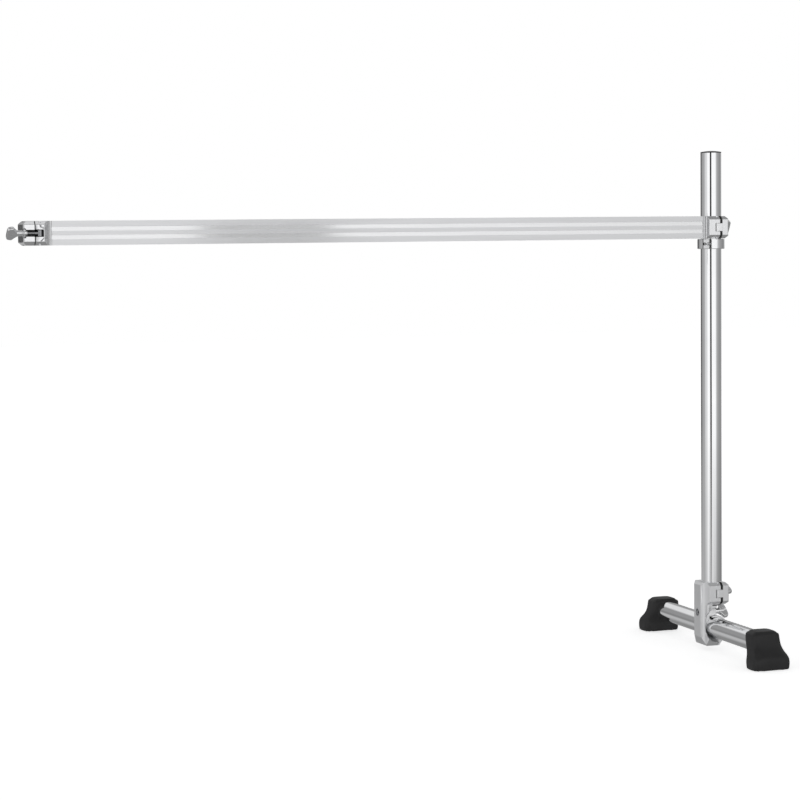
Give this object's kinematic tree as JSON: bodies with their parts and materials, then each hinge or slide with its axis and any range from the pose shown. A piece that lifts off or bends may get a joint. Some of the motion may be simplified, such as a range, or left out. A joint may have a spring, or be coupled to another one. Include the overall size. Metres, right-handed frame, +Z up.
{
  "type": "drum rack side extension",
  "caption": "Rack extension: a square grooved bar with hinged tube clamps at its ends, on a round chrome post with a memory collar and a T-leg foot with rubber ends.",
  "frame": {"origin": "centre of the bore of the free clamp at the bar's rack end", "axes": "+X along the bar from the free clamp to the post, +Z up along both clamp bores, +Y away from the viewer along the leg"},
  "size_m": [1.3542, 0.499, 0.9268],
  "materials": {
    "satin_aluminium": "satin anodised extrusion",
    "plated_steel": "zinc plated",
    "chromed_tube": "polished chrome plate",
    "chromed_fitting": "polished chrome plate",
    "chromed_wing": "chrome plate over a casting",
    "cast_clamp": "chrome plate over a die casting",
    "black_rubber": "matte moulded",
    "black_plastic": "semi-gloss moulded"
  },
  "bodies": {
    "bar": {"bar_extrusion": "satin_aluminium", "bar_end_screws": "plated_steel", "rack_end_body": "cast_clamp", "rack_end_hinge_pin": "plated_steel", "rack_end_pivot_pin": "plated_steel", "post_end_body": "cast_clamp", "post_end_hinge_pin": "plated_steel", "post_end_pivot_pin": "plated_steel"},
    "rack_jaw": {"rack_end_jaw": "cast_clamp"},
    "rack_bolt": {"rack_end_swing_bolt": "plated_steel"},
    "rack_seat": {"rack_end_seat_washer": "chromed_fitting"},
    "rack_wing": {"rack_end_wing_nut": "chromed_wing"},
    "post_jaw": {"post_end_jaw": "cast_clamp"},
    "post_bolt": {"post_end_swing_bolt": "plated_steel"},
    "post_seat": {"post_end_seat_washer": "chromed_fitting"},
    "post_wing": {"post_end_wing_nut": "chromed_wing"},
    "collar": {"collar_shell": "chromed_fitting", "collar_hinge_pin": "plated_steel"},
    "collar_gate": {"collar_gate": "chromed_fitting"},
    "collar_key": {"collar_key_bolt": "plated_steel"},
    "post": {"post_tube": "chromed_tube", "post_top_cap": "black_plastic", "post_bottom_plug": "black_plastic"},
    "foot": {"foot_body": "cast_clamp", "foot_post_hinge_pin": "plated_steel", "foot_post_pivot_pin": "plated_steel", "foot_leg_hinge_pin": "plated_steel", "foot_leg_bolt": "plated_steel"},
    "foot_jaw": {"foot_post_jaw": "cast_clamp"},
    "foot_bolt": {"foot_post_swing_bolt": "plated_steel"},
    "foot_seat": {"foot_post_seat_washer": "chromed_fitting"},
    "foot_wing": {"foot_post_wing_nut": "chromed_wing"},
    "leg_jaw": {"foot_leg_jaw": "cast_clamp"},
    "leg_seat": {"foot_leg_seat_washer": "chromed_fitting"},
    "leg_wing": {"foot_leg_wing_nut": "chromed_wing"},
    "leg": {"leg_tube": "chromed_tube", "rubber_foot_front": "black_rubber", "rubber_foot_rear": "black_rubber"}
  },
  "joints": [
    {"name": "rack_bolt_swing", "type": "hinge", "parent": "bar", "child": "rack_bolt", "pos_m": [0.0057, -0.0254, 0], "axis": [0, 0, 1], "range_deg": [0, 110]},
    {"name": "rack_seat_slide", "type": "slide", "parent": "rack_bolt", "child": "rack_seat", "axis": [-1, 0, 0], "range_m": [0, 0.005]},
    {"name": "rack_wing_spin", "type": "hinge", "parent": "rack_seat", "child": "rack_wing", "pos_m": [-0.0221, -0.0254, 0], "axis": [-1, 0, 0], "range_deg": [0, 1801]},
    {"name": "rack_jaw_hinge", "type": "hinge", "parent": "bar", "child": "rack_jaw", "pos_m": [-0.0005, 0.0236, 0], "axis": [0, 0, -1], "range_deg": [0, 4.6]},
    {"name": "post_bolt_swing", "type": "hinge", "parent": "bar", "child": "post_bolt", "pos_m": [1.2493, 0.0254, 0], "axis": [0, 0, 1], "range_deg": [0, 110]},
    {"name": "post_seat_slide", "type": "slide", "parent": "post_bolt", "child": "post_seat", "axis": [1, 0, 0], "range_m": [0, 0.005]},
    {"name": "post_wing_spin", "type": "hinge", "parent": "post_seat", "child": "post_wing", "pos_m": [1.2771, 0.0254, 0], "axis": [1, 0, 0], "range_deg": [0, 1801]},
    {"name": "post_jaw_hinge", "type": "hinge", "parent": "bar", "child": "post_jaw", "pos_m": [1.2555, -0.0236, 0], "axis": [0, 0, -1], "range_deg": [0, 4.6]},
    {"name": "collar_turn", "type": "hinge", "parent": "bar", "child": "collar", "pos_m": [1.255, 0, -0.03045], "axis": [0, 0, 1], "continuous": true},
    {"name": "collar_gate_hinge", "type": "hinge", "parent": "collar", "child": "collar_gate", "pos_m": [1.26705, 0.02006, -0.03045], "axis": [0, 0, -1], "range_deg": [0, 1.74]},
    {"name": "collar_key_spin", "type": "hinge", "parent": "collar_gate", "child": "collar_key", "pos_m": [1.23693, -0.01551, -0.03045], "axis": [-0.8572, 0.515, 0], "range_deg": [0, 720]},
    {"name": "post_slide", "type": "slide", "parent": "collar", "child": "post", "axis": [0, 0, 1], "range_m": [-0.112, 0.6]},
    {"name": "foot_turn", "type": "hinge", "parent": "post", "child": "foot", "pos_m": [1.255, 0, -0.6795], "axis": [0, 0, 1], "continuous": true},
    {"name": "foot_bolt_swing", "type": "hinge", "parent": "foot", "child": "foot_bolt", "pos_m": [1.2493, 0.0254, -0.6795], "axis": [0, 0, 1], "range_deg": [0, 110]},
    {"name": "foot_seat_slide", "type": "slide", "parent": "foot_bolt", "child": "foot_seat", "axis": [1, 0, 0], "range_m": [0, 0.005]},
    {"name": "foot_wing_spin", "type": "hinge", "parent": "foot_seat", "child": "foot_wing", "pos_m": [1.2771, 0.0254, -0.6795], "axis": [1, 0, 0], "range_deg": [0, 1801]},
    {"name": "foot_jaw_hinge", "type": "hinge", "parent": "foot", "child": "foot_jaw", "pos_m": [1.2555, -0.0236, -0.6795], "axis": [0, 0, -1], "range_deg": [0, 4.6]},
    {"name": "leg_seat_slide", "type": "slide", "parent": "foot", "child": "leg_seat", "axis": [1, 0, 0], "range_m": [0, 0.005]},
    {"name": "leg_wing_spin", "type": "hinge", "parent": "leg_seat", "child": "leg_wing", "pos_m": [1.2635, 0, -0.7162], "axis": [1, 0, 0], "range_deg": [0, 1801]},
    {"name": "leg_jaw_hinge", "type": "hinge", "parent": "foot", "child": "leg_jaw", "pos_m": [1.257, 0, -0.7717], "axis": [0, 1, 0], "range_deg": [0, 4.1]},
    {"name": "leg_slide", "type": "slide", "parent": "foot", "child": "leg", "axis": [0, 1, 0], "range_m": [-0.155, 0.15]}
  ],
  "couplings": [
    {"joint": "rack_wing_spin", "follows": "rack_seat_slide", "rad_per_m": 6283.2},
    {"joint": "rack_jaw_hinge", "follows": "rack_seat_slide", "rad_per_m": 15.306},
    {"joint": "post_wing_spin", "follows": "post_seat_slide", "rad_per_m": 6283.2},
    {"joint": "post_jaw_hinge", "follows": "post_seat_slide", "rad_per_m": 15.306},
    {"joint": "collar_key_spin", "follows": "collar_gate_hinge", "ratio": 412.89},
    {"joint": "foot_wing_spin", "follows": "foot_seat_slide", "rad_per_m": 6283.2},
    {"joint": "foot_jaw_hinge", "follows": "foot_seat_slide", "rad_per_m": 15.306},
    {"joint": "leg_wing_spin", "follows": "leg_seat_slide", "rad_per_m": 6283.2},
    {"joint": "leg_jaw_hinge", "follows": "leg_seat_slide", "rad_per_m": 13.514}
  ]
}
